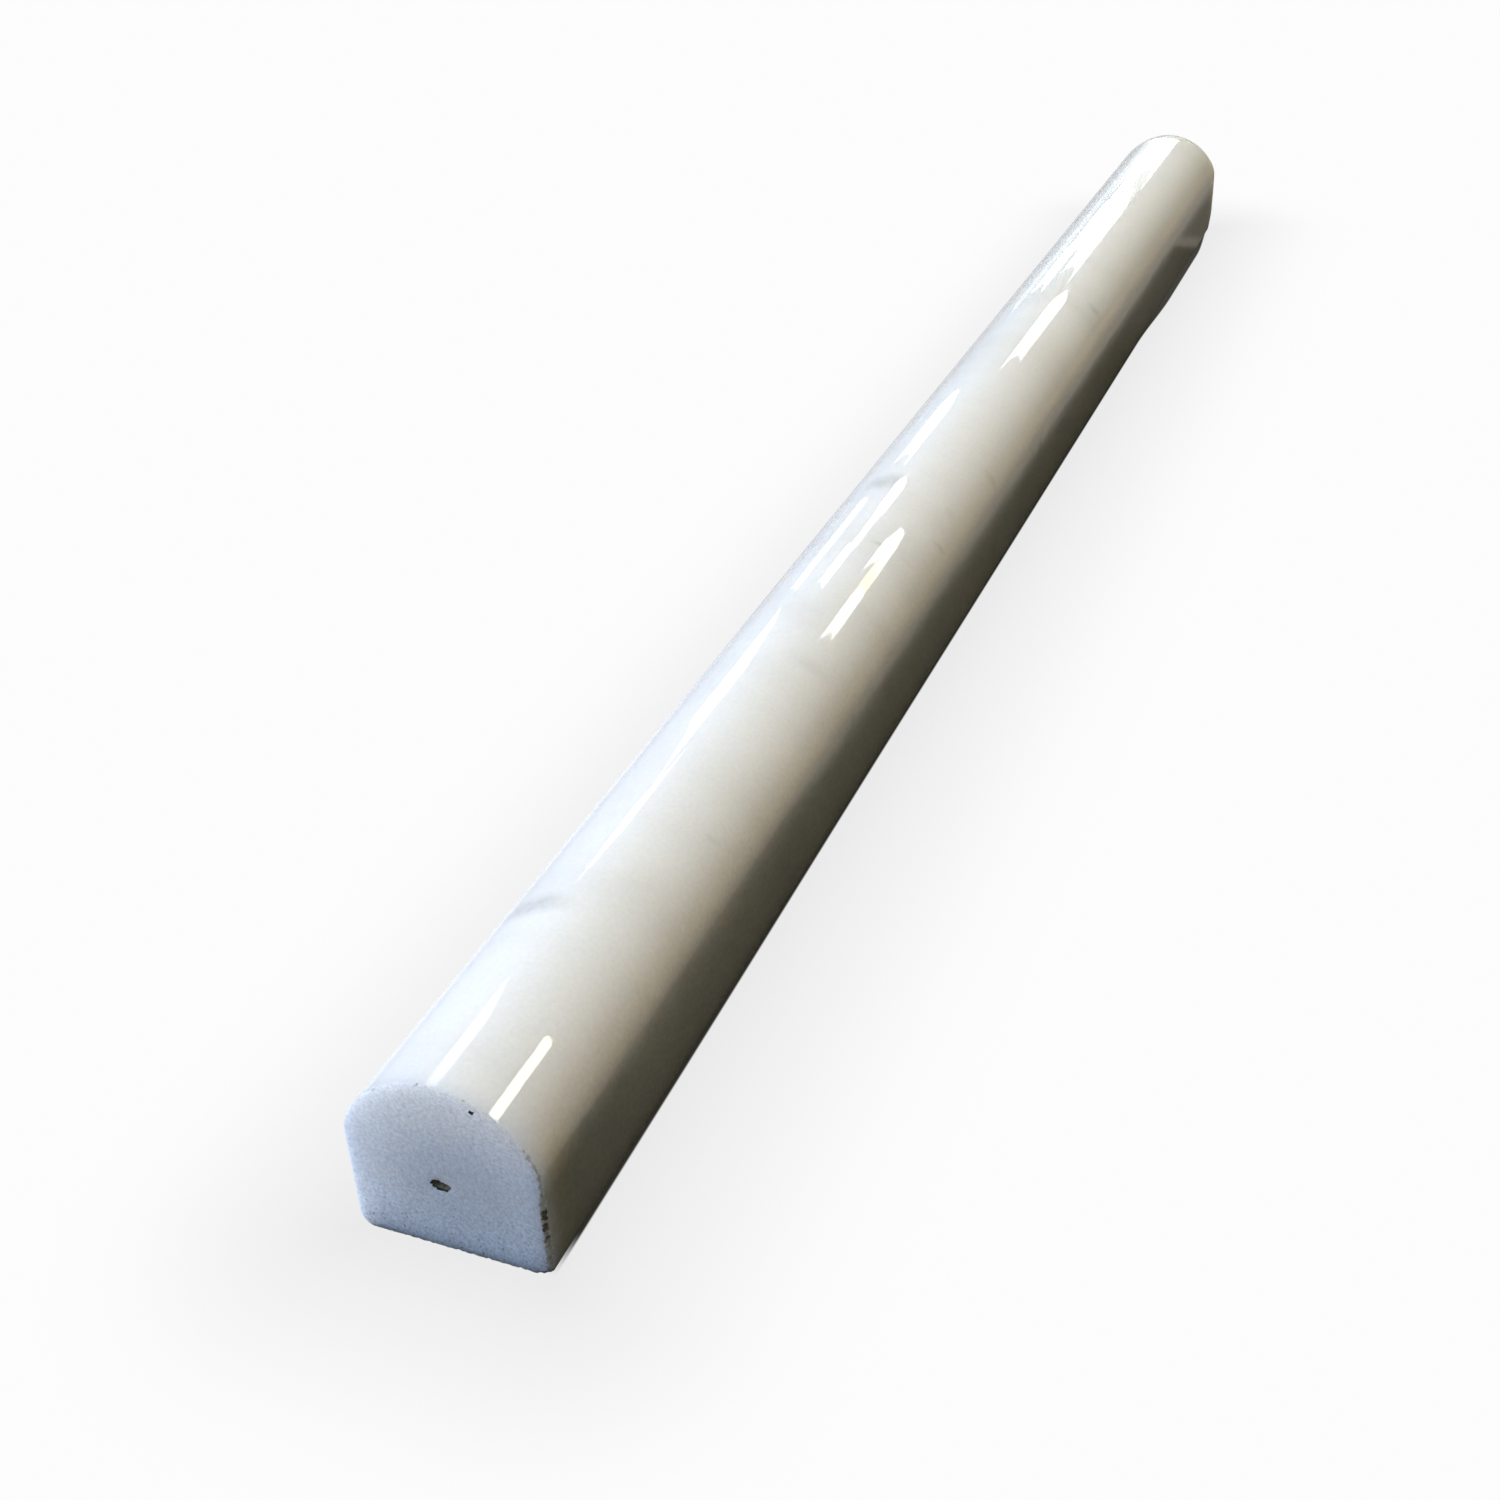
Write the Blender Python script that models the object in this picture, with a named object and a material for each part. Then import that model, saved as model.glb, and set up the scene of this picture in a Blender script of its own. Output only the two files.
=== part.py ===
"""Pencil liner: a narrow bar of polished white marble with a flat back, two upright
sides and a domed face. It lies on its flat back, long way along X, in metres."""

import math

import bmesh
import bpy
from mathutils import Matrix, Vector

# The bar
LENGTH = 0.3048
WIDTH = 0.01905
SIDE_HEIGHT = 0.01131  # from the back up to where the dome springs
DOME_RISE = 0.00774  # from there up to the crown

# How the dome bends over from upright to level
SHOULDER_REACH = 0.00253  # how far it still climbs in line with the side
CROWN_REACH = 0.00585  # how far it runs level to each side of the crown
DOME_STEPS = 30  # on each half of the dome

# The eased corners between the back and the sides
BACK_CORNER_RADIUS = 0.0009
CORNER_STEPS = 6

# The natural pit in the sawn end at -X
PIT_WIDTH = 0.0019
PIT_HEIGHT = 0.0012
PIT_DEPTH = 0.0008
PIT_OFF_CENTRE = 0.00056
PIT_ABOVE_BACK = 0.00764

# Polished marble under the daylight of a studio
MARBLE_COLOUR = (0.80, 0.81, 0.82, 1.0)
MARBLE_ROUGHNESS = 0.12


def marble_material():
    material = bpy.data.materials.new("polished_marble")
    material.use_nodes = True
    shader = material.node_tree.nodes["Principled BSDF"]
    shader.inputs["Base Color"].default_value = MARBLE_COLOUR
    shader.inputs["Roughness"].default_value = MARBLE_ROUGHNESS
    shader.inputs["Metallic"].default_value = 0.0
    material.diffuse_color = MARBLE_COLOUR
    return material


def bend(start, leave, arrive, end, steps):
    """Points of a cubic curve from start to end, both included."""
    points = []
    for step in range(steps + 1):
        t = step / steps
        s = 1.0 - t
        points.append(
            s**3 * start + 3 * s * s * t * leave + 3 * s * t * t * arrive + t**3 * end
        )
    return points


def half_section():
    """One half of the outline as (Y, Z), from the back's corner up to the crown."""
    half = WIDTH / 2
    radius = min(BACK_CORNER_RADIUS, 0.9 * half, 0.9 * SIDE_HEIGHT)
    corner = []
    for step in range(CORNER_STEPS + 1):
        angle = math.pi / 2 * step / CORNER_STEPS
        across = half - radius + radius * math.sin(angle)
        up = radius - radius * math.cos(angle)
        corner.append(Vector((across, up)))
    spring = Vector((half, SIDE_HEIGHT))
    crown = Vector((0.0, SIDE_HEIGHT + DOME_RISE))
    climb = Vector((0.0, min(SHOULDER_REACH, DOME_RISE)))
    level = Vector((min(CROWN_REACH, half), 0.0))
    return corner + bend(spring, spring + climb, crown + level, crown, DOME_STEPS)


def section():
    """The whole outline, once round, with the crown's point shared by both halves."""
    right = half_section()
    left = [Vector((-point.x, point.y)) for point in right[-2::-1]]
    return right + left


def extruded_bar():
    """The section drawn out along X from end to end."""
    shape = bmesh.new()
    rim = [shape.verts.new((-LENGTH / 2, point.x, point.y)) for point in section()]
    near_end = shape.faces.new(rim)
    drawn = bmesh.ops.extrude_face_region(shape, geom=[near_end])["geom"]
    moved = [item for item in drawn if isinstance(item, bmesh.types.BMVert)]
    bmesh.ops.translate(shape, verts=moved, vec=(LENGTH, 0.0, 0.0))
    bmesh.ops.recalc_face_normals(shape, faces=shape.faces)
    for face in shape.faces:
        face.smooth = abs(face.normal.x) < 0.5
    for edge in shape.edges:
        edge.smooth = edge.calc_face_angle(0.0) < math.radians(30)
    mesh = bpy.data.meshes.new("pencil_liner")
    shape.to_mesh(mesh)
    shape.free()
    mesh.materials.append(marble_material())
    bar = bpy.data.objects.new("pencil_liner", mesh)
    bpy.context.scene.collection.objects.link(bar)
    return bar


def pit_cutter():
    """An egg-shaped lump, half sunk in the sawn end, that leaves the pit behind."""
    shape = bmesh.new()
    bmesh.ops.create_uvsphere(shape, u_segments=28, v_segments=18, radius=1.0)
    size = Matrix.Diagonal((PIT_DEPTH, PIT_WIDTH / 2, PIT_HEIGHT / 2, 1.0))
    place = Matrix.Translation((-LENGTH / 2, PIT_OFF_CENTRE, PIT_ABOVE_BACK))
    bmesh.ops.transform(shape, matrix=place @ size, verts=shape.verts)
    mesh = bpy.data.meshes.new("pit_cutter")
    shape.to_mesh(mesh)
    shape.free()
    cutter = bpy.data.objects.new("pit_cutter", mesh)
    bpy.context.scene.collection.objects.link(cutter)
    cutter.hide_render = True
    cutter.display_type = "WIRE"
    return cutter


for leftover in list(bpy.data.objects):
    bpy.data.objects.remove(leftover, do_unlink=True)

pencil_liner = extruded_bar()
pit = pencil_liner.modifiers.new("pit", "BOOLEAN")
pit.operation = "DIFFERENCE"
pit.solver = "EXACT"
pit.object = pit_cutter()
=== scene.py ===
import math

import bpy
from mathutils import Matrix, Vector


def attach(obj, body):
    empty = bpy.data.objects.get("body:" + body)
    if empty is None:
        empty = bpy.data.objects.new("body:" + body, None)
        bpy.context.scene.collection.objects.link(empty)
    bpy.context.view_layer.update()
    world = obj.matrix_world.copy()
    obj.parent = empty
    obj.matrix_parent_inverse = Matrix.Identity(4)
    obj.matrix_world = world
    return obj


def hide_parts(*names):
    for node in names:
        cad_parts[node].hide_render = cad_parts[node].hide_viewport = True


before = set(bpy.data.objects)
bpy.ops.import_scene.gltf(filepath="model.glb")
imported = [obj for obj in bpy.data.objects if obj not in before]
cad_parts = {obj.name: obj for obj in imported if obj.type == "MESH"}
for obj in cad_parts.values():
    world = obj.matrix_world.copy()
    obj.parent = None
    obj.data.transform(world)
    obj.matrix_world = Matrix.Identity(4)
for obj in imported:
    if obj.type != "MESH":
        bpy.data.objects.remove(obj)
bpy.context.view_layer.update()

# The bar is one stick of white marble. A profile wheel grinds its dome, the dome and
# the sides are polished, and the back and both ends stay as the saw left them. The saw
# chips the arrises of the ends finely, and it opened a natural pit in the end at -X.
bar_length = 0.3048
bar_width = 0.01905
side_height = 0.01131
dome_rise = 0.00774
shoulder_reach = 0.00253
crown_reach = 0.00585
right_back_radius = 0.0009
left_back_radius = 0.0016


def bend(start, leave, arrive, end, steps):
    """Points of a cubic curve from start up to end, without the end itself."""
    points = []
    for step in range(steps):
        t = step / steps
        s = 1.0 - t
        points.append(s**3 * start + 3 * s * s * t * leave + 3 * s * t * t * arrive + t**3 * end)
    return points


def down_one_side(back_radius):
    """Half of the section: from the crown down the +Y side to the middle of the back."""
    half = bar_width / 2
    crown = Vector((0, 0, side_height + dome_rise))
    spring = Vector((0, half, side_height))
    low = Vector((0, half, back_radius))
    foot = Vector((0, half - back_radius, 0))
    quarter_circle_pull = 0.5523
    pull = quarter_circle_pull * back_radius
    level, climb = Vector((0, crown_reach, 0)), Vector((0, 0, shoulder_reach))
    on_dome, on_side, on_corner, on_back = 90, 60, 16, 50
    down = bend(crown, crown + level, spring + climb, spring, on_dome)
    down += bend(spring, spring.lerp(low, 1 / 3), spring.lerp(low, 2 / 3), low, on_side)
    down += bend(low, low - Vector((0, 0, pull)), foot + Vector((0, pull, 0)), foot, on_corner)
    down += bend(foot, foot.lerp(Vector(), 1 / 3), foot.lerp(Vector(), 2 / 3), Vector(), on_back)
    return down


def wheel_profile():
    """The section once round, from the crown down the left side, across the back and up again."""
    up = [Vector()] + down_one_side(right_back_radius)[:0:-1]
    return down_one_side(left_back_radius) + [Vector((0, -point.y, point.z)) for point in up]


class Bench:
    """Puts nodes into one tree, their inputs given in order or by name."""

    lump_at_scale_one = 0.6

    def __init__(self, tree):
        self.tree = tree

    def put(self, kind, *values, settings=(), **named):
        """A new node, with each input linked or set as given."""
        node = self.tree.nodes.new(kind)
        for name, value in dict(settings).items():
            setattr(node, name, value)
        wanted = list(zip(node.inputs, values))
        wanted += [(node.inputs[name.replace("_", " ")], value) for name, value in named.items()]
        for socket, value in wanted:
            if isinstance(value, bpy.types.NodeSocket):
                self.tree.links.new(value, socket)
            elif value is not None:
                socket.default_value = value
        return node

    def sum(self, operation, *values):
        """A sum with numbers, such as ADD or MULTIPLY."""
        return self.put("ShaderNodeMath", *values, settings={"operation": operation}).outputs[0]

    def all_of(self, share, *others):
        """Shares multiplied with each other: full only where every one of them is."""
        for other in others:
            share = self.sum("MULTIPLY", share, other)
        return share

    def over(self, value, limit):
        """How far a value is over a limit, and nothing where it is under it."""
        return self.sum("MAXIMUM", self.sum("SUBTRACT", value, limit), 0.0)

    def arrow(self, operation, *values):
        """A vector operation whose answer is a vector."""
        return self.put("ShaderNodeVectorMath", *values, settings={"operation": operation}).outputs[0]

    def reach(self, operation, *values):
        """A vector operation whose answer is one number, such as a length."""
        return self.put("ShaderNodeVectorMath", *values, settings={"operation": operation}).outputs[1]

    def scaled(self, arrow, by):
        return self.put("ShaderNodeVectorMath", arrow, settings={"operation": "SCALE"}, Scale=by).outputs[0]

    def eased(self, value, low, high, to_low=0.0, to_high=1.0):
        """Goes smoothly from to_low, where the value is low, to to_high, where it is high."""
        how = {"interpolation_type": "SMOOTHSTEP", "clamp": True}
        return self.put("ShaderNodeMapRange", value, low, high, to_low, to_high, settings=how).outputs[0]

    def noise(self, place, lump, detail=2.0, roughness=0.5):
        """Noise whose lumps are about as big as asked, in metres."""
        node = self.put("ShaderNodeTexNoise", Vector=place, Scale=self.lump_at_scale_one / lump,
                        Detail=detail, Roughness=roughness)
        return node.outputs[0]

    def blend(self, share, first, second):
        """The first colour where the share is none, and the second where it is full."""
        node = self.put("ShaderNodeMix", share, settings={"data_type": "RGBA"})
        for socket, value in ((node.inputs[6], first), (node.inputs[7], second)):
            if isinstance(value, bpy.types.NodeSocket):
                self.tree.links.new(value, socket)
            else:
                socket.default_value = value
        return node.outputs[2]


def new_group(name, kind, takes, gives):
    """A node group with named inputs and outputs: its tree, its bench and both its ends."""
    tree = bpy.data.node_groups.new(name, kind)
    for label, socket in takes.items():
        tree.interface.new_socket(name=label, in_out="INPUT", socket_type="NodeSocket" + socket)
    for label, socket in gives.items():
        tree.interface.new_socket(name=label, in_out="OUTPUT", socket_type="NodeSocket" + socket)
    bench = Bench(tree)
    return tree, bench, bench.put("NodeGroupInput").outputs, bench.put("NodeGroupOutput").inputs


def marble_figure():
    """White stone with faint bands across the bar, a sugary grain and a few grey smudges."""
    takes = {"Stone": "Color", "Band": "Color", "Smudge": "Color", "Graining": "Float",
             "Grain size": "Float"}
    tree, bench, given, result = new_group("marble_figure", "ShaderNodeTree", takes, {"Colour": "Color"})
    place = bench.put("ShaderNodeTexCoord").outputs["Object"]
    sway_scale, sway_width = 70.0, 0.006
    sway = bench.put("ShaderNodeTexNoise", Vector=place, Scale=sway_scale, Detail=3.0).outputs["Color"]
    sway = bench.arrow("SUBTRACT", sway, (0.5, 0.5, 0.5))
    bent = bench.arrow("ADD", place, bench.scaled(sway, sway_width))
    drawn_across = (1.0, 0.28, 0.28)
    cloud_size, wisp_size = 0.010, 0.0035
    bands = bench.arrow("MULTIPLY", bent, drawn_across)
    clouds = bench.eased(bench.noise(bands, cloud_size, 3.0, 0.55), 0.42, 0.72, 0.0, 0.6)
    wisps = bench.eased(bench.noise(bands, wisp_size, 4.0, 0.6), 0.50, 0.78, 0.0, 0.4)
    banded = bench.blend(bench.sum("ADD", clouds, wisps), given["Stone"], given["Band"])
    # Each smudge: along, across, up, half length, half breadth, darkness
    smudges = [
        (-0.1262, 0.0042, 0.0180, 0.0018, 0.0034, 0.58),
        (-0.0274, 0.0020, 0.0187, 0.0026, 0.0026, 0.72),
        (-0.0454, -0.0023, 0.0187, 0.0007, 0.0010, 0.85),
        (-0.0740, -0.0048, 0.0173, 0.0014, 0.0028, 0.18),
        (0.0526, -0.0074, 0.0157, 0.0012, 0.0018, 0.42),
        (0.0113, -0.0095, 0.0103, 0.0013, 0.0024, 0.42),
        (-0.0129, -0.0089, 0.0134, 0.0010, 0.0017, 0.36),
        (-0.0360, -0.0081, 0.0148, 0.0009, 0.0015, 0.26),
        (-0.0449, -0.0065, 0.0165, 0.0012, 0.0014, 0.26),
        (-0.0279, -0.0070, 0.0161, 0.0012, 0.0012, 0.20),
        (-0.0736, -0.0095, 0.0115, 0.0008, 0.0012, 0.42),
        (-0.0936, -0.0095, 0.0060, 0.0055, 0.0060, 0.16),
        (-0.0149, -0.0095, 0.0035, 0.0026, 0.0024, 0.24),
        (-0.1079, -0.0068, 0.0163, 0.0006, 0.0012, 0.26),
        (-0.0660, -0.0010, 0.0188, 0.0035, 0.0030, 0.15),
        (0.0480, 0.0010, 0.0188, 0.0040, 0.0026, 0.14),
        (0.0980, 0.0060, 0.0120, 0.0018, 0.0050, 0.35),
        (-0.0600, 0.0095, 0.0070, 0.0016, 0.0040, 0.35),
        (0.0300, 0.0095, 0.0050, 0.0022, 0.0026, 0.30),
        (0.1506, -0.0038, 0.0182, 0.0008, 0.0020, 1.10),
    ]
    soft_rim = 1.5
    dark = 0.0
    for along, across, up, half_length, half_breadth, darkness in smudges:
        size = (half_length * soft_rim, half_breadth * soft_rim, half_breadth * soft_rim)
        away = bench.arrow("DIVIDE", bench.arrow("SUBTRACT", bent, (along, across, up)), size)
        here = bench.eased(bench.reach("LENGTH", away), 1.0, 0.0, 0.0, darkness)
        dark = bench.sum("ADD", here, dark)
    fleck_size = 0.0012
    flecks = bench.eased(bench.noise(place, fleck_size, 3.0, 0.6), 0.25, 0.7, 0.45, 1.0)
    smudged = bench.blend(bench.all_of(dark, flecks), banded, given["Smudge"])
    grain_scale = bench.sum("DIVIDE", bench.lump_at_scale_one, given["Grain size"])
    grain = bench.put("ShaderNodeTexNoise", Vector=place, Scale=grain_scale, Detail=4.0,
                      Roughness=0.7).outputs[0]
    shade = bench.sum("MULTIPLY_ADD", bench.sum("SUBTRACT", grain, 0.5), given["Graining"], 1.0)
    tree.links.new(bench.scaled(smudged, shade), result["Colour"])
    return tree


figure = marble_figure()
stone_white = (0.86, 0.86, 0.85, 1.0)
band_white = (0.79, 0.785, 0.77, 1.0)
smudge_grey = (0.40, 0.40, 0.39, 1.0)
sawn_white = (0.902, 0.869, 0.825, 1.0)
sawn_band = (0.844, 0.811, 0.767, 1.0)
glow_reach = (1.0, 0.95, 0.88)
glow_depth = 0.0070


def stone_material(name):
    """A new material of the bar's marble, with its bench, its shader and its figure."""
    material = bpy.data.materials.new(name)
    material.use_nodes = True
    bench = Bench(material.node_tree)
    shader = material.node_tree.nodes["Principled BSDF"]
    group = bench.put("ShaderNodeGroup", settings={"node_tree": figure})
    for label, value in {"Stone": stone_white, "Band": band_white, "Smudge": smudge_grey}.items():
        group.inputs[label].default_value = value
    material.node_tree.links.new(group.outputs["Colour"], shader.inputs["Base Color"])
    shader.inputs["Subsurface Weight"].default_value = 1.0
    shader.inputs["Subsurface Radius"].default_value = glow_reach
    shader.inputs["Subsurface Scale"].default_value = glow_depth
    shader.inputs["IOR"].default_value = 1.5
    return material, bench, shader, group


def polished_marble():
    """Glossy to the wheel on the dome and duller down the sides, with long shallow waves."""
    material, bench, shader, group = stone_material("polished_marble")
    group.inputs["Grain size"].default_value = 0.00028
    place = bench.put("ShaderNodeTexCoord").outputs["Object"]
    along, across, up = bench.put("ShaderNodeSeparateXYZ", place).outputs
    dome_graining, side_graining = 0.18, 0.50
    graining = bench.eased(up, 0.0165, 0.0100, dome_graining, side_graining)
    material.node_tree.links.new(graining, group.inputs["Graining"])
    # Painted shade darkens the foot of the near end's right side, and painted light makes the far half of
    # the crown paler
    foot_painted_shade, crown_painted_lighter = 0.20, 0.025
    near_foot = bench.all_of(bench.eased(along, -0.126, -0.156), bench.eased(across, -0.0078, -0.0094),
                             bench.eased(up, 0.0112, 0.0086))
    far_crown_painted_light = bench.all_of(bench.eased(along, -0.06, 0.10), bench.eased(up, 0.0150, 0.0180))
    shade = bench.sum("MULTIPLY_ADD", far_crown_painted_light, crown_painted_lighter, 1.0)
    shade = bench.sum("MULTIPLY_ADD", near_foot, -foot_painted_shade, shade)
    shaded = bench.scaled(group.outputs["Colour"], shade)
    # Painted warm shade beside the near arris on the right side, and painted light beside it on the crown
    untinted = (1.0, 1.0, 1.0, 1.0)
    painted_warm_shade, painted_brighter = (0.965, 0.915, 0.80, 1.0), (1.05, 1.035, 1.01, 1.0)
    last_side_painted_shade = bench.all_of(bench.eased(along, -0.1445, -0.1515), bench.eased(up, 0.0150, 0.0115),
                             bench.eased(across, -0.0060, -0.0085))
    last_crown_painted_light = bench.all_of(bench.eased(along, -0.1470, -0.1520), bench.eased(up, 0.0155, 0.0175),
                              bench.eased(across, 0.0, -0.0020))
    tint = bench.blend(last_crown_painted_light, bench.blend(last_side_painted_shade, untinted, painted_warm_shade), painted_brighter)
    material.node_tree.links.new(bench.arrow("MULTIPLY", shaded, tint), shader.inputs["Base Color"])
    # The wheel leaves shallow waves and a finish that varies a little from place to place
    rub_size, rubbed_least, rubbed_most, duller_on_sides = 0.0020, 0.012, 0.034, 0.012
    rubs = bench.noise(place, rub_size, 3.0, 0.6)
    rubbed = bench.eased(rubs, 0.3, 0.8, rubbed_least, rubbed_most)
    duller = bench.eased(up, 0.0130, 0.0090, 0.0, duller_on_sides)
    material.node_tree.links.new(bench.sum("ADD", rubbed, duller), shader.inputs["Roughness"])
    wave_size, wave_height, drawn_along = 0.006, 0.00005, (0.45, 1.0, 1.0)
    crystal_size, crystal_share = 0.0006, 0.005
    waves = bench.noise(bench.arrow("MULTIPLY", place, drawn_along), wave_size)
    height = bench.sum("MULTIPLY_ADD", bench.noise(place, crystal_size), crystal_share, waves)
    bump = bench.put("ShaderNodeBump", Strength=1.0, Distance=wave_height, Height=height)
    material.node_tree.links.new(bump.outputs[0], shader.inputs["Normal"])
    return material


def sawn_marble():
    """Matt and sugary, with painted shade that greys the middle of an end, and coarser towards the back."""
    material, bench, shader, group = stone_material("sawn_marble")
    group.inputs["Stone"].default_value = sawn_white
    group.inputs["Band"].default_value = sawn_band
    group.inputs["Grain size"].default_value = 0.00020
    place = bench.put("ShaderNodeTexCoord").outputs["Object"]
    _, across, up = bench.put("ShaderNodeSeparateXYZ", place).outputs
    coarse = bench.eased(up, 0.0090, 0.0005)
    material.node_tree.links.new(bench.sum("MULTIPLY_ADD", coarse, 0.65, 0.90), group.inputs["Graining"])
    # Painted shade: the middle of an end greyer, and its left side and left arris darker
    core_middle, core_size = (0.0, -0.0014, 0.0076), (1.0, 0.0095, 0.0088)
    core_painted_shade, side_painted_shade, arris_painted_shade = 0.835, 0.035, 0.080
    from_core = bench.arrow("DIVIDE", bench.arrow("SUBTRACT", place, core_middle), core_size)
    from_core = bench.arrow("MULTIPLY", from_core, (0.0, 1.0, 1.0))
    shade = bench.eased(bench.reach("LENGTH", from_core), 0.25, 1.0, core_painted_shade, 1.0)
    left_side_painted_shade = bench.all_of(bench.eased(across, 0.002, 0.008), bench.eased(up, 0.0130, 0.0090))
    shade = bench.sum("MULTIPLY_ADD", left_side_painted_shade, -side_painted_shade, shade)
    left_arris_painted_shade = bench.all_of(bench.eased(across, 0.0080, 0.0092), bench.eased(up, 0.0150, 0.0110))
    shade = bench.sum("MULTIPLY_ADD", left_arris_painted_shade, -arris_painted_shade, shade)
    # Torn grains leave tiny holes in patches, most of them towards the back, darkened with painted shade
    pock_scale, torn_size = 2200.0, 0.0009
    pocks = bench.put("ShaderNodeTexVoronoi", Vector=place, Scale=pock_scale).outputs["Distance"]
    torn = bench.eased(bench.noise(place, torn_size), 0.45, 0.62)
    more_at_back = bench.sum("MULTIPLY_ADD", coarse, 0.55, 0.08)
    painted_shade_holes = bench.all_of(bench.eased(pocks, 0.30, 0.10), torn, more_at_back)
    shade = bench.all_of(shade, bench.sum("SUBTRACT", 1.0, painted_shade_holes))
    shaded = bench.scaled(group.outputs["Colour"], shade)
    material.node_tree.links.new(shaded, shader.inputs["Base Color"])
    shader.inputs["Roughness"].default_value = 0.75
    shader.inputs["Specular IOR Level"].default_value = 0.25
    crumb_size, crumb_height = 0.00030, 0.0002
    crumbs = bench.noise(place, crumb_size, 5.0, 0.7)
    height = bench.sum("MULTIPLY_ADD", bench.eased(pocks, 0.0, 0.6), 0.5, crumbs)
    bump = bench.put("ShaderNodeBump", Strength=1.0, Distance=crumb_height, Height=height)
    material.node_tree.links.new(bump.outputs[0], shader.inputs["Normal"])
    return material


def stained_stone(name, deep, pale, lip=None, glow=0.0):
    """Stone stained brown by rust and old dust, in patches, and darker at the lip of a pit."""
    material = bpy.data.materials.new(name)
    material.use_nodes = True
    bench = Bench(material.node_tree)
    shader = material.node_tree.nodes["Principled BSDF"]
    place = bench.put("ShaderNodeTexCoord").outputs["Object"]
    patch_size, crust_height = 0.0004, 0.0001
    patches = bench.eased(bench.noise(place, patch_size, 4.0, 0.65), 0.35, 0.72)
    stain = bench.blend(patches, deep, pale)
    if lip:
        along = bench.put("ShaderNodeSeparateXYZ", place).outputs[0]
        near_face, lip_depth, lip_end = -bar_length / 2, 0.00010, 0.00022
        rim = bench.eased(along, near_face + lip_end, near_face + lip_depth)
        stain = bench.blend(rim, stain, lip)
    material.node_tree.links.new(stain, shader.inputs["Base Color"])
    shader.inputs["Roughness"].default_value = 0.8
    shader.inputs["Subsurface Weight"].default_value = glow
    shader.inputs["Subsurface Radius"].default_value = glow_reach
    shader.inputs["Subsurface Scale"].default_value = glow_depth
    bump = bench.put("ShaderNodeBump", Strength=0.8, Distance=crust_height, Height=patches)
    material.node_tree.links.new(bump.outputs[0], shader.inputs["Normal"])
    return material


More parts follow.
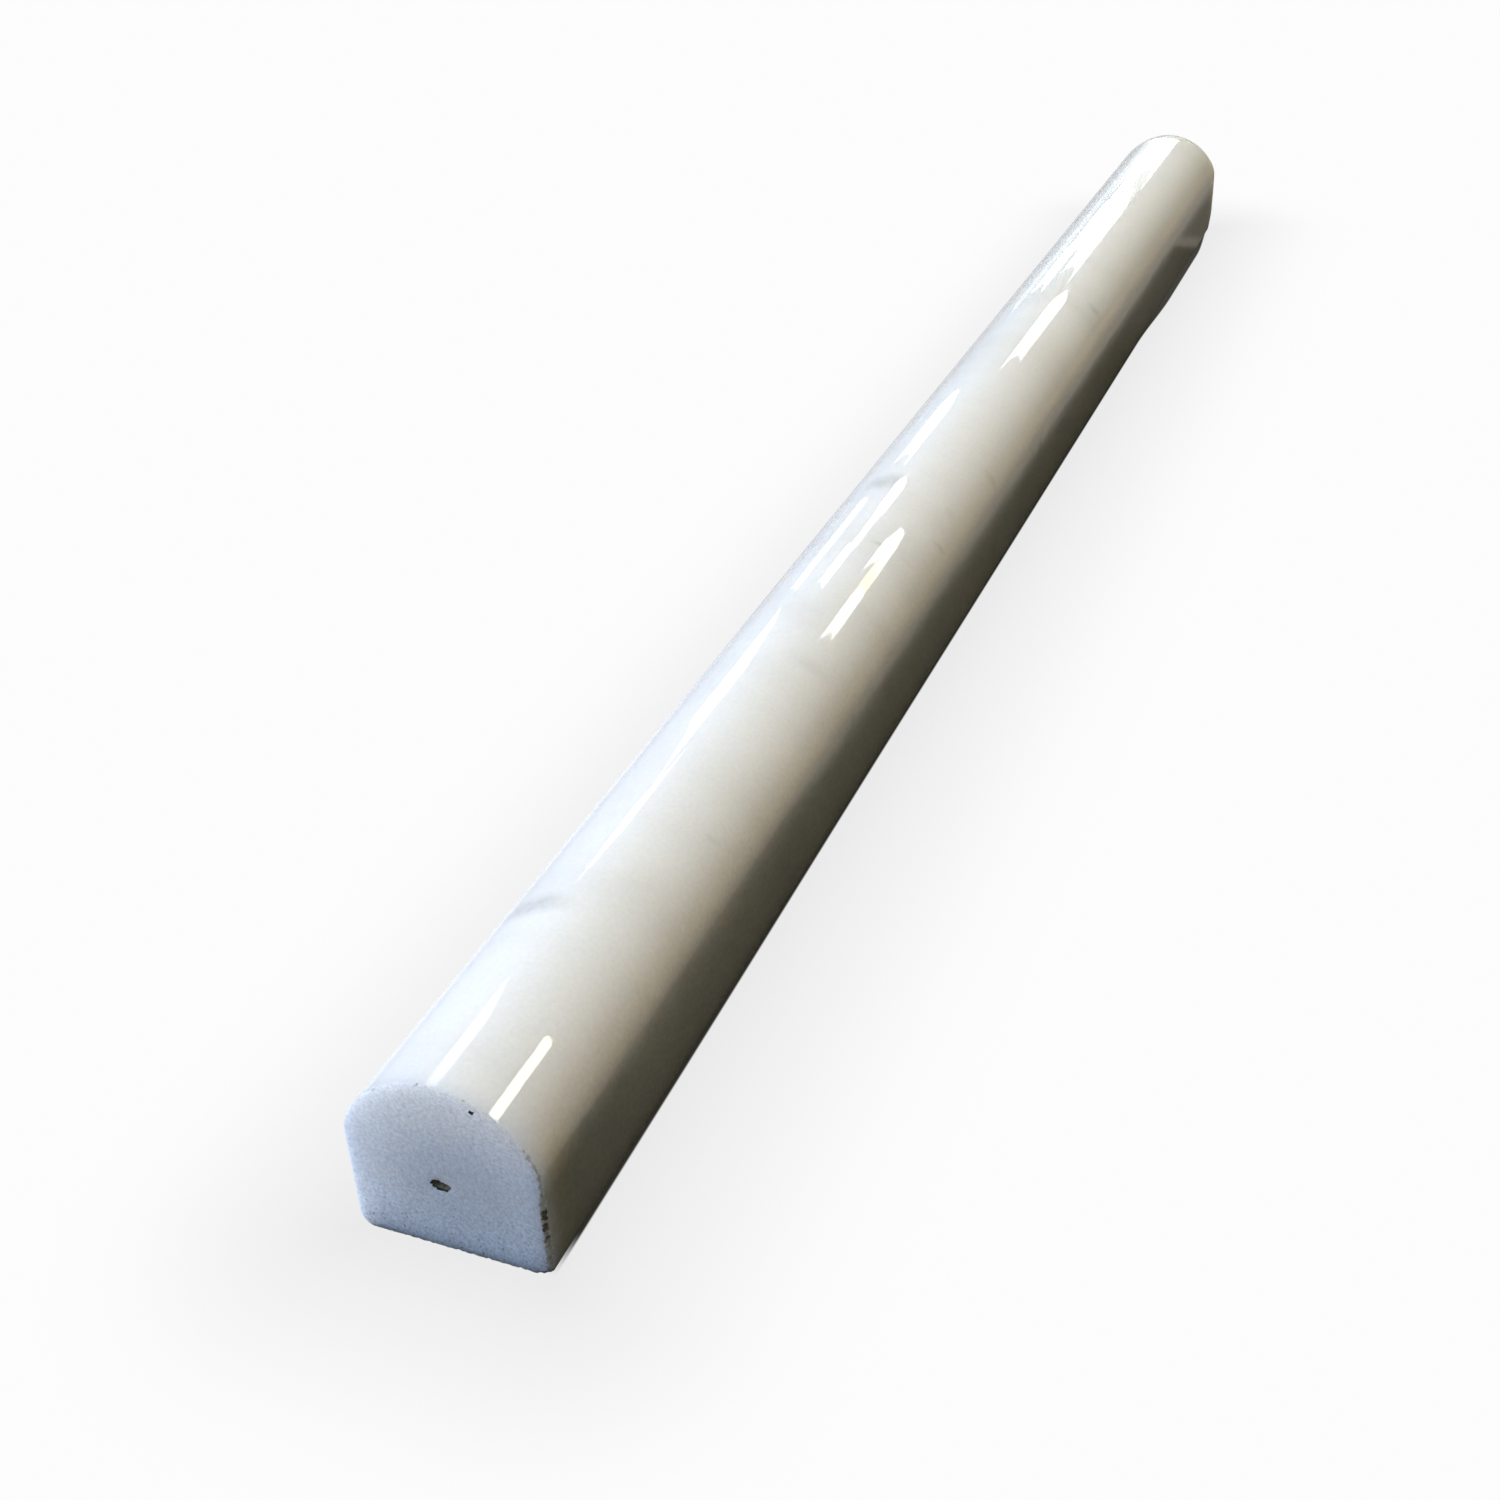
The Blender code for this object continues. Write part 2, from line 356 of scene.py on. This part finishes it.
def draw_out_the_bar():
    """Draws the section out along X in rings, closes the ends, chips them and opens the pit."""
    takes = {
        "Section": "Geometry", "Length": "Float", "Points round": "Int", "Rings on an end": "Int",
        "Rings along": "Int", "Chip size": "Float", "Pit place": "Vector", "Pit width": "Float",
        "Pit height": "Float", "Pit depth": "Float", "Pit slant": "Float", "Speck place": "Vector",
        "Far middle": "Vector", "Near easing": "Float", "Far easing": "Float",
        "Foot easing": "Float", "Fall length": "Float", "Fall radius": "Float",
        "Polished": "Material", "Sawn": "Material", "Stained": "Material", "Grime and painted shade": "Material",
        "Dusty": "Material",
    }
    tree, bench, given, result = new_group("draw_out_the_bar", "GeometryNodeTree", takes,
                                           {"Bar": "Geometry"})
    # A sheet of rings: round the section in Y, and from one end's middle to the other's in X
    rings = bench.sum("MULTIPLY_ADD", given["Rings on an end"], 2.0, given["Rings along"])
    round_and_one = bench.sum("ADD", given["Points round"], 1.0)
    sheet = bench.put("GeometryNodeMeshGrid", 1.0, 1.0, rings, round_and_one)
    on_sheet = bench.put("GeometryNodeInputPosition").outputs[0]
    sheet_x, sheet_y, _ = bench.put("ShaderNodeSeparateXYZ", on_sheet).outputs
    last_ring = bench.sum("SUBTRACT", rings, 1.0)
    ring = bench.sum("MULTIPLY", bench.sum("ADD", sheet_x, 0.5), last_ring)
    about = bench.sum("ADD", sheet_y, 0.5)
    # On an end the rings crowd towards the middle and the arris, and along the bar to the ends
    even_on_end, even_along = 0.2, 0.02
    arris_ring = bench.sum("SUBTRACT", given["Rings on an end"], 1.0)
    from_middle = bench.sum("MINIMUM", ring, bench.sum("SUBTRACT", last_ring, ring))
    inner = bench.sum("DIVIDE", bench.sum("MINIMUM", from_middle, arris_ring), arris_ring)
    widened = bench.sum("MULTIPLY_ADD", bench.eased(inner, 0.0, 1.0), 1.0 - even_on_end,
                        bench.sum("MULTIPLY", inner, even_on_end))
    steps_along = bench.sum("ADD", given["Rings along"], 1.0)
    along = bench.sum("DIVIDE", bench.sum("SUBTRACT", ring, arris_ring), steps_along)
    along = bench.put("ShaderNodeClamp", along).outputs[0]
    along = bench.sum("MULTIPLY_ADD", along, 2.0, -1.0)
    far = bench.sum("SIGN", along)
    from_end = bench.sum("SUBTRACT", 1.0, bench.sum("ABSOLUTE", along))
    stretch = bench.sum("MULTIPLY_ADD", bench.sum("POWER", from_end, 3.0), 1.0 - even_along,
                        bench.sum("MULTIPLY", from_end, even_along))
    half_length = bench.sum("MULTIPLY", given["Length"], 0.5)
    inset = bench.sum("MULTIPLY", half_length, stretch)
    x = bench.sum("MULTIPLY", far, bench.sum("SUBTRACT", half_length, inset))
    wire = bench.put("GeometryNodeMeshToCurve", given["Section"]).outputs[0]
    rim = bench.put("GeometryNodeSampleCurve", Curves=wire, Factor=about, settings={"mode": "FACTOR"})
    edge, tangent = rim.outputs["Position"], rim.outputs["Tangent"]
    out = bench.arrow("NORMALIZE", bench.arrow("CROSS_PRODUCT", (1, 0, 0), tangent))
    is_far = bench.sum("GREATER_THAN", far, 0.0)
    pole = bench.put("GeometryNodeSwitch", is_far, given["Pit place"], given["Far middle"],
                     settings={"input_type": "VECTOR"}).outputs[0]
    spoke = bench.arrow("SUBTRACT", edge, pole)
    flat = bench.arrow("ADD", pole, bench.scaled(spoke, widened))
    lengthways = bench.put("ShaderNodeCombineXYZ", x, 0.0, 0.0).outputs[0]
    place = bench.arrow("ADD", flat, lengthways)
    from_arris = bench.sum("MULTIPLY_ADD", bench.sum("SUBTRACT", 1.0, widened),
                           bench.reach("DOT_PRODUCT", spoke, out), inset)
    # Chips: how far the arris is broken back here, most on the near end's right side
    spall_size, nick_size, ragged_size = 0.0012, 0.0003, 0.00025
    everywhere, more_at_back, left_share = 0.1, 0.12, 0.4
    arris = bench.arrow("ADD", edge, bench.put("ShaderNodeCombineXYZ", far, 0.0, 0.0).outputs[0])
    spalls = bench.eased(bench.noise(arris, spall_size, 3.0, 0.6), 0.56, 0.78, 0.0, 0.9)
    nicks = bench.eased(bench.noise(arris, nick_size, 3.0, 0.6), 0.40, 0.75, 0.0, 0.7)
    _, edge_across, edge_up = bench.put("ShaderNodeSeparateXYZ", edge).outputs
    is_near = bench.sum("SUBTRACT", 1.0, is_far)
    right_side = bench.all_of(bench.eased(edge_across, -0.0078, -0.0090),
                              bench.eased(edge_up, 0.0108, 0.0080, 0.3, 1.0), is_near)
    at_back = bench.all_of(bench.eased(edge_up, 0.0006, 0.0001), is_near)
    broken = bench.sum("ADD", bench.sum("ADD", spalls, nicks), bench.sum("ADD", right_side, everywhere))
    broken = bench.sum("MULTIPLY_ADD", at_back, more_at_back, broken)
    less_on_left = bench.eased(edge_across, 0.0070, 0.0090, 1.0, left_share)
    broken = bench.all_of(broken, less_on_left, given["Chip size"])
    ragged = bench.eased(bench.noise(place, ragged_size, 3.0, 0.6), 0.25, 0.75, 0.35, 0.75)
    lost = bench.sum("MULTIPLY", bench.over(broken, from_arris), ragged)
    # The arrises are eased too: hardly at the near end, more at the far one, most at its foot
    at_foot = bench.sum("MULTIPLY", bench.eased(edge_up, 0.0040, 0.0), given["Foot easing"])
    easing = bench.sum("MULTIPLY", is_far, bench.sum("ADD", at_foot, given["Far easing"]))
    easing = bench.sum("ADD", easing, given["Near easing"])
    within = bench.over(easing, from_arris)
    worn = bench.sum("DIVIDE", bench.sum("MULTIPLY", within, within), bench.sum("MULTIPLY", easing, 2.0))
    back_in = bench.put("ShaderNodeCombineXYZ", bench.sum("MULTIPLY", far, -1.0), 0.0, 0.0).outputs[0]
    taken = bench.sum("MAXIMUM", lost, worn)
    outward = bench.put("GeometryNodeSwitch", is_far, out, bench.arrow("NORMALIZE", spoke),
                        settings={"input_type": "VECTOR"}).outputs[0]
    chip = bench.scaled(bench.arrow("SUBTRACT", back_in, outward), taken)
    # The dome falls away gently over the last stretch before the far end, most at the crown
    high_up = bench.eased(edge_up, 0.0060, 0.0190, 0.25, 1.0)
    fall_length = bench.sum("MULTIPLY", high_up, given["Fall length"])
    falling = bench.sum("MULTIPLY", bench.over(fall_length, from_arris), is_far)
    twice_inward = bench.sum("MULTIPLY", given["Fall radius"], -2.0)
    fall = bench.sum("DIVIDE", bench.sum("MULTIPLY", falling, falling), twice_inward)
    chip = bench.arrow("ADD", chip, bench.scaled(out, fall))
    # The pit: a lumpy slanted oval, sunk only in the near end, and the speck near the crown
    lump_size, grit_size, speck_size = 0.0007, 0.0003, (1.0, 0.00066, 0.00018)
    about_pit = bench.arrow("SUBTRACT", flat, given["Pit place"])
    about_pit = bench.put("ShaderNodeVectorRotate", about_pit, settings={"rotation_type": "X_AXIS"},
                          Angle=given["Pit slant"]).outputs[0]
    pit_size = bench.put("ShaderNodeCombineXYZ", 1.0, given["Pit width"], given["Pit height"]).outputs[0]
    ripple = bench.sum("MULTIPLY_ADD", bench.noise(flat, lump_size, 3.0, 0.6), 0.9, -0.45)
    oval = bench.sum("ADD", bench.reach("LENGTH", bench.arrow("DIVIDE", about_pit, pit_size)),
                     bench.sum("MULTIPLY", ripple, 0.5))
    about_speck = bench.arrow("SUBTRACT", flat, given["Speck place"])
    about_speck = bench.arrow("DIVIDE", about_speck, speck_size)
    speck = bench.eased(bench.reach("LENGTH", about_speck), 0.60, 0.25, 0.0, 0.5)
    on_near_end = bench.sum("LESS_THAN", ring, arris_ring)
    sunk = bench.all_of(bench.sum("MAXIMUM", bench.eased(oval, 0.56, 0.34), speck), on_near_end)
    gritty = bench.sum("MULTIPLY_ADD", bench.noise(flat, grit_size), 0.8, 0.6)
    depth = bench.all_of(sunk, gritty, given["Pit depth"])
    hollow = bench.put("ShaderNodeCombineXYZ", depth, 0.0, 0.0).outputs[0]
    place = bench.arrow("ADD", place, bench.arrow("ADD", chip, hollow))
    # What each face is: sawn on the ends and the back, freshly broken in a chip, stained in the
    # pit, and in the near end's chips dusty, or grimy and darkened with painted shade in a band of the
    # right arris
    keep = tree.nodes.new("GeometryNodeCaptureAttribute")
    tree.links.new(sheet.outputs[0], keep.inputs[0])
    facing_down = bench.sum("MULTIPLY", bench.put("ShaderNodeSeparateXYZ", out).outputs[2], -1.0)
    on_end = bench.sum("LESS_THAN", from_middle, bench.sum("SUBTRACT", arris_ring, 0.5))
    dirt_size = 0.0005
    dirt = bench.noise(place, dirt_size, 3.0, 0.6)
    grime_and_shade_band = bench.all_of(bench.eased(edge_up, 0.0100, 0.0078), bench.eased(edge_up, 0.0034, 0.0046),
                              bench.sum("GREATER_THAN", right_side, 0.2))
    grimy = bench.all_of(lost, bench.all_of(bench.eased(dirt, 0.49, 0.54), grime_and_shade_band))
    dusted = bench.all_of(bench.eased(dirt, 0.50, 0.58), bench.eased(edge_up, 0.003, 0.006), is_near)
    dusty = bench.all_of(lost, bench.sum("MAXIMUM", dusted, bench.eased(right_side, 0.1, 0.3)))
    marks = {"sawn": on_end, "down": facing_down, "lost": lost, "sunk": sunk, "grimy": grimy,
             "dusty": dusty}
    for label, value in marks.items():
        keep.capture_items.new("FLOAT", label)
        tree.links.new(value, keep.inputs[label])
    kept = {label: keep.outputs[label] for label in marks}
    shaped = bench.put("GeometryNodeSetPosition", Geometry=keep.outputs[0], Position=place).outputs[0]
    closed = bench.put("GeometryNodeMergeByDistance", Geometry=shaped, Distance=1e-7).outputs[0]
    smooth = bench.put("GeometryNodeSetShadeSmooth", Geometry=closed).outputs[0]
    real = bench.put("GeometryNodeRealizeInstances", smooth).outputs[0]
    done = bench.put("GeometryNodeSetMaterial", Geometry=real, Material=given["Polished"]).outputs[0]
    least_chip, least_dirt, least_sunk, straight_down = 0.00002, 0.00003, 0.12, 0.8
    broken_faces = bench.sum("GREATER_THAN", kept["lost"], least_chip)
    sawn_faces = bench.sum("ADD", kept["sawn"], bench.sum("GREATER_THAN", kept["down"], straight_down))
    sawn_faces = bench.sum("GREATER_THAN", bench.sum("ADD", sawn_faces, broken_faces), 0.5)
    stained_faces = bench.sum("GREATER_THAN", kept["sunk"], least_sunk)
    dusty_faces = bench.sum("GREATER_THAN", kept["dusty"], least_dirt)
    grime_and_shade_faces = bench.sum("GREATER_THAN", kept["grimy"], least_dirt)
    finishes = {"Sawn": sawn_faces, "Stained": stained_faces, "Dusty": dusty_faces, "Grime and painted shade": grime_and_shade_faces}
    for finish, faces in finishes.items():
        done = bench.put("GeometryNodeSetMaterial", Geometry=done, Selection=faces,
                         Material=given[finish]).outputs[0]
    tree.links.new(done, result["Bar"])
    return tree


def made_bar():
    """Runs the tree on the section's wire and keeps what comes out as a plain mesh."""
    outline = wheel_profile()
    wire = bpy.data.meshes.new("section_wire")
    wire.from_pydata(outline, [(i, (i + 1) % len(outline)) for i in range(len(outline))], [])
    sketch = bpy.data.objects.new("section_wire", wire)
    bpy.context.scene.collection.objects.link(sketch)
    tree = draw_out_the_bar()
    modifier = sketch.modifiers.new("draw_out", "NODES")
    modifier.node_group = tree
    pit_dark, pit_brown = (0.080, 0.062, 0.038, 1.0), (0.25, 0.20, 0.13, 1.0)
    pit_lip = (0.024, 0.019, 0.013, 1.0)
    # The grime colours are partly a brown stain and partly painted shade, as dark as the shaded side
    grime_and_shade_dark, grime_and_shade_brown = (0.17, 0.13, 0.075, 1.0), (0.52, 0.43, 0.28, 1.0)
    dust_dark, dust_pale = (0.50, 0.44, 0.35, 1.0), (0.78, 0.72, 0.61, 1.0)
    wanted = {
        "Length": bar_length, "Points round": 440, "Rings on an end": 50, "Rings along": 100,
        "Chip size": 0.00036, "Pit place": (0.0, 0.00056, 0.00764), "Pit width": 0.0018,
        "Pit height": 0.00102, "Pit depth": 0.00038, "Pit slant": -0.10,
        "Speck place": (0.0, -0.0038, 0.0174), "Far middle": (0.0, 0.0, 0.0085),
        "Near easing": 0.0001, "Far easing": 0.0006, "Foot easing": 0.0026,
        "Fall length": 0.0048, "Fall radius": 0.020,
        "Polished": polished_marble(), "Sawn": sawn_marble(),
        "Stained": stained_stone("stained_pit", pit_dark, pit_brown, lip=pit_lip),
        "Grime and painted shade": stained_stone("grime_and_painted_shade_chips", grime_and_shade_dark, grime_and_shade_brown),
        "Dusty": stained_stone("dusty_chips", dust_dark, dust_pale, glow=1.0),
    }
    for socket in tree.interface.items_tree:
        if socket.in_out == "INPUT" and socket.name in wanted:
            modifier[socket.identifier] = wanted[socket.name]
    graph = bpy.context.evaluated_depsgraph_get()
    mesh = bpy.data.meshes.new_from_object(sketch.evaluated_get(graph), depsgraph=graph)
    bpy.data.objects.remove(sketch, do_unlink=True)
    return mesh


bar = bpy.data.objects.new("marble_bar", made_bar())
bar.data.name = "marble_bar"
bpy.context.scene.collection.objects.link(bar)
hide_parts("pencil_liner")
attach(bar, "root")

# The floor is a plain pale sheet with a painted soft grey shadow round the bar's foot. The polish
# mirrors it as a painted warm bench top that such a bar lies on, with a nearly black painted shadow
# in the strip where the bar's shadow falls, and painted light in a strip on the side of the windows.
floor_size = 6.0
floor_drop = 0.0002
floor_white = (0.98, 0.98, 0.98, 1.0)
floor_mesh = bpy.data.meshes.new("floor")
corners = [(-1, -1), (1, -1), (1, 1), (-1, 1)]
floor_mesh.from_pydata([(x * floor_size / 2, y * floor_size / 2, -floor_drop) for x, y in corners], [],
                       [(0, 1, 2, 3)])
floor = bpy.data.objects.new("floor", floor_mesh)
bpy.context.scene.collection.objects.link(floor)
floor_finish = bpy.data.materials.new("pale_floor")
floor_finish.use_nodes = True
bench = Bench(floor_finish.node_tree)
ray = bench.put("ShaderNodeLightPath").outputs
floor_place = bench.put("ShaderNodeTexCoord").outputs["Object"]
along, across, _ = bench.put("ShaderNodeSeparateXYZ", floor_place).outputs
on_window_side = bench.eased(across, 0.008, 0.010)


def mirrored_floor():
    """What the polish sees: a painted reflection of the bench top, with the bar's painted shadow on it, and
    the side of the windows.
    """
    bench_top, in_shadow = (0.36, 0.34, 0.30, 1.0), (0.012, 0.011, 0.009, 1.0)
    window_side, far_window_side = (0.31, 0.30, 0.27, 1.0), (0.27, 0.255, 0.21, 1.0)
    sunny_strip = (0.88, 0.88, 0.87, 1.0)
    # The painted shadow's outer edge lies further out at the near end, and a little on one stretch
    shadow_start, shadow_edge, shadow_slope, shadow_sharpness = -0.0116, -0.01550, 0.0028, 4.2
    flare_from, flare_slope, wider_by = -0.123, 0.35, 0.0011
    edge = bench.sum("MULTIPLY_ADD", along, shadow_slope, shadow_edge)
    flare = bench.sum("MULTIPLY", bench.over(flare_from, along), flare_slope)
    edge = bench.sum("SUBTRACT", edge, flare)
    wide_stretch = bench.all_of(bench.eased(along, -0.128, -0.116), bench.eased(along, -0.062, -0.085))
    edge = bench.sum("SUBTRACT", edge, bench.sum("MULTIPLY", wide_stretch, wider_by))
    shadow_width = bench.sum("SUBTRACT", shadow_start, edge)
    out_of_shade = bench.sum("DIVIDE", bench.sum("SUBTRACT", shadow_start, across), shadow_width)
    out_of_shade = bench.put("ShaderNodeClamp", out_of_shade).outputs[0]
    dark = bench.sum("SUBTRACT", 1.0, bench.sum("POWER", out_of_shade, shadow_sharpness))
    # Painted light gets into the painted shadow beside the far stretch, most of it in a spot short of the
    # end
    little_light, spot_light, less_after = 0.10, 0.50, 0.32
    far_light = bench.sum("MULTIPLY_ADD", bench.eased(along, 0.070, 0.105), little_light,
                          bench.eased(along, 0.1370, 0.1415, 0.0, spot_light))
    after_spot = bench.eased(along, 0.1435, 0.1480, 0.0, less_after)
    far_light = bench.sum("SUBTRACT", far_light, after_spot)
    dark = bench.all_of(dark, bench.sum("SUBTRACT", 1.0, far_light))
    shaded_side = bench.blend(bench.sum("SUBTRACT", 1.0, dark), in_shadow, bench_top)
    lit_side = bench.blend(bench.eased(along, 0.05, 0.12), window_side, far_window_side)
    sunny = bench.all_of(bench.eased(across, 0.050, 0.030), bench.eased(along, -0.020, -0.070, 0.4, 1.0))
    lit_side = bench.blend(sunny, lit_side, sunny_strip)
    return bench.blend(on_window_side, shaded_side, lit_side)


def seen_floor():
    """What the camera sees: a painted soft shadow round the bar, and a thin dark painted one under its
    right side.
    """
    foot_shadow, darkest = (0.66, 0.66, 0.67, 1.0), 0.5
    shadow_fades_from, shadow_ends = 0.010, 0.030
    from_middle = bench.sum("ABSOLUTE", along)
    past_end = bench.over(from_middle, bar_length / 2)
    past_side = bench.over(bench.sum("ABSOLUTE", across), bar_width / 2)
    gap = bench.reach("LENGTH", bench.put("ShaderNodeCombineXYZ", past_end, past_side, 0.0).outputs[0])
    bar_height = side_height + dome_rise
    to_top = bench.reach("LENGTH", bench.put("ShaderNodeCombineXYZ", gap, bar_height, 0.0).outputs[0])
    closeness = bench.sum("SUBTRACT", 1.0, bench.sum("DIVIDE", gap, to_top))
    sheltered = bench.all_of(closeness, darkest, bench.eased(gap, shadow_ends, shadow_fades_from))
    seen = bench.blend(sheltered, floor_white, foot_shadow)
    # The thin painted shadow's edge steps outwards beside the far stretch, and back in at the far end
    in_painted_contact_shadow, far_painted_contact_shadow = (0.030, 0.029, 0.022, 1.0), (0.058, 0.054, 0.046, 1.0)
    contact_shadow_softness, end_fade = 0.00012, 0.006
    first_edge, far_edge, back_at_end, out_at_near = -0.00934, -0.01014, 0.0014, 0.00012
    contact_shadow_edge = bench.sum("SUBTRACT", bench.eased(along, 0.082, 0.108, first_edge, far_edge),
                           bench.eased(along, 0.134, 0.156, 0.0, -back_at_end))
    contact_shadow_edge = bench.sum("SUBTRACT", contact_shadow_edge, bench.eased(along, -0.06, -0.13, 0.0, out_at_near))
    contact_shadow = bench.eased(across, bench.sum("SUBTRACT", contact_shadow_edge, contact_shadow_softness),
                        bench.sum("ADD", contact_shadow_edge, contact_shadow_softness))
    under_bar = bench.eased(across, 0.0, -0.005)
    short_of_end = bench.eased(from_middle, bar_length / 2, bar_length / 2 - end_fade)
    contact_shadow = bench.all_of(contact_shadow, under_bar, short_of_end)
    contact_shadow_tone = bench.blend(bench.eased(along, 0.080, 0.110), in_painted_contact_shadow, far_painted_contact_shadow)
    return bench.blend(contact_shadow, seen, contact_shadow_tone)


def lighting_floor():
    """What lights the bar from below: little beside its right side, where a painted shade darkens the
    floor's colour, and more in the open.
    """
    shade_tone, open_tone = (0.085, 0.078, 0.060, 1.0), (0.35, 0.34, 0.32, 1.0)
    in_front = bench.all_of(bench.eased(along, -0.154, -0.166), bench.eased(across, -0.014, -0.006))
    in_the_open = bench.sum("MAXIMUM", on_window_side, in_front)
    return bench.blend(in_the_open, shade_tone, open_tone)


shown_tone = bench.blend(ray["Is Glossy Ray"], seen_floor(), mirrored_floor())
shown = bench.put("ShaderNodeEmission", shown_tone).outputs[0]
matt = bench.put("ShaderNodeBsdfDiffuse", lighting_floor()).outputs[0]
looked_at = bench.sum("MAXIMUM", ray["Is Camera Ray"], ray["Is Glossy Ray"])
mixed = bench.put("ShaderNodeMixShader", looked_at, matt, shown).outputs[0]
floor_finish.node_tree.links.new(mixed, floor_finish.node_tree.nodes["Material Output"].inputs["Surface"])
floor_mesh.materials.append(floor_finish)

# The light is a warm ceiling beyond the far end and two cool windows to the left. A row
# of small ceiling lights and panes stands only in the polish, as the dome's long streaks.
bpy.context.scene.view_settings.view_transform = "Standard"


def lamp(name, aim, azimuth, elevation, roll, away, width, height, radiance):
    """A flat soft light that faces aim, from azimuth (from +X to +Y) and elevation in degrees."""
    turn, tilt, roll = math.radians(azimuth), math.radians(elevation), math.radians(roll)
    back = Vector((math.cos(tilt) * math.cos(turn), math.cos(tilt) * math.sin(turn), math.sin(tilt)))
    level = Vector((0, 0, 1)).cross(back).normalized()
    side = math.cos(roll) * level + math.sin(roll) * back.cross(level)
    data = bpy.data.lights.new(name, "AREA")
    data.shape = "RECTANGLE"
    data.size, data.size_y = width, height
    strongest = max(radiance)
    data.energy = strongest * math.pi * width * height
    data.color = [value / strongest for value in radiance]
    light = bpy.data.objects.new(name, data)
    stand = Matrix((side, back.cross(side), back)).transposed().to_4x4()
    light.matrix_world = Matrix.Translation(Vector(aim) + away * back) @ stand
    light.visible_camera = False
    bpy.context.scene.collection.objects.link(light)
    return light


# Each soft light: name, azimuth, elevation, radiance
soft_away, soft_size = 3.0, 1.0
soft_lights = [
    ("warm_ceiling", 0.0, 55.0, (27.8, 21.8, 14.4)),
    ("low_window", 115.8, 13.6, (11.4, 12.6, 18.4)),
    ("high_window", 137.8, 55.2, (7.8, 13.8, 20.5)),
]
for name, azimuth, elevation, radiance in soft_lights:
    light = lamp(name, (0, 0, 0), azimuth, elevation, 0.0, soft_away, soft_size, soft_size, radiance)
    light.visible_glossy = False

# Each streak: aim along the bar, azimuth, elevation, roll, width, height, radiance
streak_away, aim_height = 4.0, 0.018
plain, buttery, pane = (8.0, 8.0, 7.8), (6.6, 6.1, 2.8), (2.8, 2.9, 3.1)
faint, dim, bright = (2.4, 2.4, 2.3), (0.56, 0.53, 0.50), (12.0, 11.8, 9.2)
cool, soft, cream = (3.15, 3.25, 3.4), (3.3, 3.3, 3.2), (0.74, 0.71, 0.60)
rim_grey = (0.36, 0.345, 0.31)
streaks = [
    (-0.147, -42.9, 40.3, -35.0, 0.940, 0.592, bright),
    (-0.063, -15.4, 30.7, 28.4, 0.609, 0.111, plain),
    (-0.053, -14.4, 29.9, 26.7, 0.535, 0.088, buttery),
    (-0.045, -10.8, 30.0, 21.3, 0.820, 0.095, plain),
    (0.037, 1.0, 23.9, 90.3, 0.172, 0.700, soft),
    (-0.146, 39.7, 42.2, -60.2, 0.680, 0.860, cool),
    (-0.053, 19.7, 27.0, 50.3, 0.112, 0.480, plain),
    (-0.042, 17.2, 27.0, -32.4, 0.399, 0.106, buttery),
    (-0.031, 16.2, 26.0, -33.6, 0.600, 0.084, plain),
    (0.084, 8.5, 19.1, -25.0, 0.758, 0.198, faint),
    (-0.113, 33.1, 28.5, 57.2, 0.239, 0.478, pane),
    (-0.081, 33.2, 19.4, 17.2, 0.320, 0.900, pane),
    (-0.044, 31.2, 10.3, 106.7, 0.510, 0.250, pane),
    (-0.008, 24.7, 13.9, 28.4, 0.172, 0.810, pane),
    (0.065, 19.0, 11.8, -57.4, 0.620, 0.130, faint),
    (0.095, 16.3, 13.1, 41.6, 0.150, 0.735, faint),
    (0.114, 6.4, 18.3, -19.2, 0.449, 0.053, cream),
    (0.150, 3.0, 5.8, 0.0, 1.200, 0.860, rim_grey),
    (0.135, 6.2, 16.5, -20.2, 0.679, 0.205, faint),
    (0.135, 13.7, 11.3, 40.4, 0.209, 0.875, faint),
    (0.118, 13.7, 13.8, 45.3, 0.060, 0.677, faint),
    (0.120, 20.5, 3.6, 0.0, 0.550, 0.400, dim),
]
for number, (along, azimuth, elevation, roll, width, height, radiance) in enumerate(streaks):
    light = lamp(f"streak_{number}", (along, 0, aim_height), azimuth, elevation, roll, streak_away,
                 width, height, radiance)
    light.visible_diffuse = False

# The room beyond gives a faint warm light from the near end and a faint cool one from the
# far end, and the camera sees it as white as the floor.
near_glow, far_glow = (0.052, 0.015, 0.007, 1.0), (0.036, 0.13, 0.12, 1.0)
world = bpy.data.worlds.new("studio")
bpy.context.scene.world = world
world.use_nodes = True
bench = Bench(world.node_tree)
direction = bench.put("ShaderNodeTexCoord").outputs["Generated"]
lengthways = bench.put("ShaderNodeSeparateXYZ", direction).outputs[0]
room = bench.blend(bench.eased(lengthways, 0.0, -1.0), (0, 0, 0, 1), near_glow)
room = bench.blend(bench.eased(lengthways, 0.0, 1.0), room, far_glow)
straight_on = bench.put("ShaderNodeLightPath").outputs["Is Camera Ray"]
room = bench.blend(straight_on, room, floor_white)
world.node_tree.links.new(room, world.node_tree.nodes["Background"].inputs["Color"])

# The camera stands close over the near end and looks down along the bar.
focal_length = 46.21
azimuth, elevation, roll = math.radians(-66.779), math.radians(32.257), math.radians(-2.613)
near_foot = Vector((-bar_length / 2, 0.0, 0.0))
near_foot_away = 0.16899
near_foot_in_view = Vector((-0.15250, -0.25990, -1.0)) * near_foot_away
behind = Vector((math.sin(azimuth) * math.cos(elevation), -math.cos(azimuth) * math.cos(elevation),
                 math.sin(elevation)))
level_right = Vector((0, 0, 1)).cross(behind).normalized()
level_up = behind.cross(level_right)
right = math.cos(roll) * level_right + math.sin(roll) * level_up
upward = -math.sin(roll) * level_right + math.cos(roll) * level_up
turned = Matrix((right, upward, behind)).transposed()
camera_data = bpy.data.cameras.new("camera")
camera_data.lens = focal_length
camera_data.sensor_width = 36.0
camera_data.clip_start = 0.01
camera = bpy.data.objects.new("camera", camera_data)
camera.matrix_world = Matrix.Translation(near_foot - turned @ near_foot_in_view) @ turned.to_4x4()
bpy.context.scene.collection.objects.link(camera)
bpy.context.scene.camera = camera
